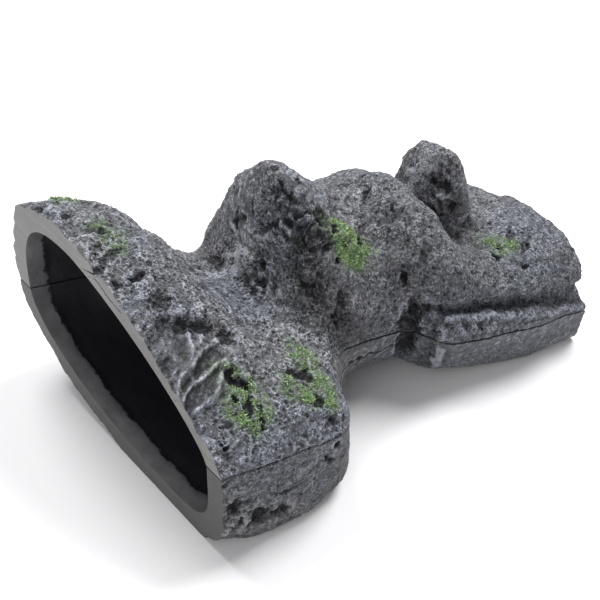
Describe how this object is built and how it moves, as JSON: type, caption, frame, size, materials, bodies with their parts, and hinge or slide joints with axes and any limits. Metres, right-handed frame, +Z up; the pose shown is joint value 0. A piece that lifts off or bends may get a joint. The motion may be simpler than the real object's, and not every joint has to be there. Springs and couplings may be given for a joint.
{
  "type": "aquarium cave ornament",
  "caption": "Hollow rock-look tunnel cave cast as two bonded half shells, with sawn mouths, two humps, a grooved block and flocked moss patches.",
  "frame": {"origin": "on the ground below the middle of the ornament", "axes": "+X from the front mouth to the back mouth, +Y to the far side, +Z up from the ground"},
  "size_m": [0.164, 0.1268, 0.0858],
  "materials": {
    "painted_rock": "matte",
    "painted_rock_lower": "matte",
    "adhesive": "matte",
    "moss_flock": "matte"
  },
  "bodies": {
    "root": {"upper_shell": "painted_rock", "lower_shell": "painted_rock_lower", "bond_line_near": "adhesive", "bond_line_far": "adhesive", "moss_rim_crest": "moss_flock", "moss_mouth_top": "moss_flock", "moss_flank_large": "moss_flock", "moss_flank_upper": "moss_flock", "moss_flank_middle": "moss_flock", "moss_flank_lower": "moss_flock", "moss_first_hump": "moss_flock", "moss_back_dome": "moss_flock", "moss_far_shoulder": "moss_flock", "moss_far_block": "moss_flock"}
  },
  "joints": []
}
